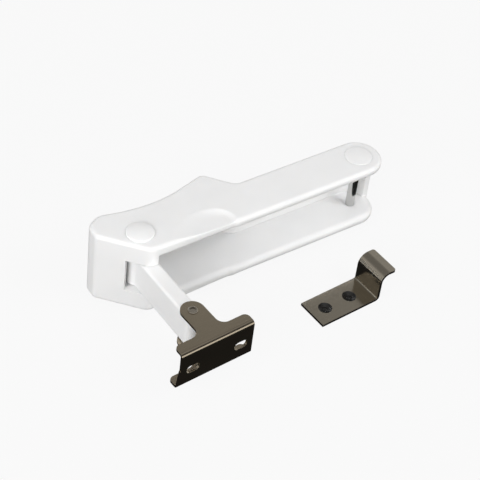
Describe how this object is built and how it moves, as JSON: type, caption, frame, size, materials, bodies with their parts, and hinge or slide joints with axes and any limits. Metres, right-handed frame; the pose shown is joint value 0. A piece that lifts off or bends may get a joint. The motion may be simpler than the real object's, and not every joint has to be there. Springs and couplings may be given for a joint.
{
  "type": "over-centre draw latch",
  "caption": "Over-centre draw latch with a white channel lever and link on a folded steel base bracket, and a loose steel hook keeper, for gates and doors.",
  "frame": {"origin": "centre of the base bracket's two screw slots, on the outer face of its web", "axes": "+X along the bracket's web, +Y away from the panel it is screwed to, +Z along the hinge axes"},
  "size_m": [0.1643, 0.0889, 0.0458],
  "materials": {
    "lever_plastic": "white injection moulded, satin gloss",
    "link_plastic": "white injection moulded, satin gloss",
    "cap_plastic": "white injection moulded, satin gloss",
    "sheet_steel": "stainless sheet, fine brushed",
    "pin_steel": "polished stainless pin"
  },
  "bodies": {
    "bracket": {"base_bracket": "sheet_steel", "bracket_rivet": "pin_steel"},
    "link": {"link_arm": "link_plastic"},
    "lever": {"lever_body": "lever_plastic", "pivot_pin": "pin_steel", "pivot_cap_top": "cap_plastic", "pivot_cap_bottom": "cap_plastic", "hook_pin": "pin_steel", "hook_cap_top": "cap_plastic", "hook_cap_bottom": "cap_plastic"},
    "keeper": {"keeper": "sheet_steel"}
  },
  "joints": [
    {"name": "link_hinge", "type": "hinge", "parent": "bracket", "child": "link", "pos_m": [0, 0.0208, 0], "axis": [0, 0, 1], "range_deg": [-35, 92]},
    {"name": "lever_hinge", "type": "hinge", "parent": "link", "child": "lever", "pos_m": [0.0017, 0.0677, 0], "axis": [0, 0, 1], "range_deg": [-92, 35]},
    {"name": "keeper_slide", "type": "slide", "parent": "bracket", "child": "keeper", "axis": [0, -1, 0], "range_m": [0, 0.06]}
  ],
  "couplings": [
    {"joint": "lever_hinge", "follows": "link_hinge", "ratio": -1}
  ]
}
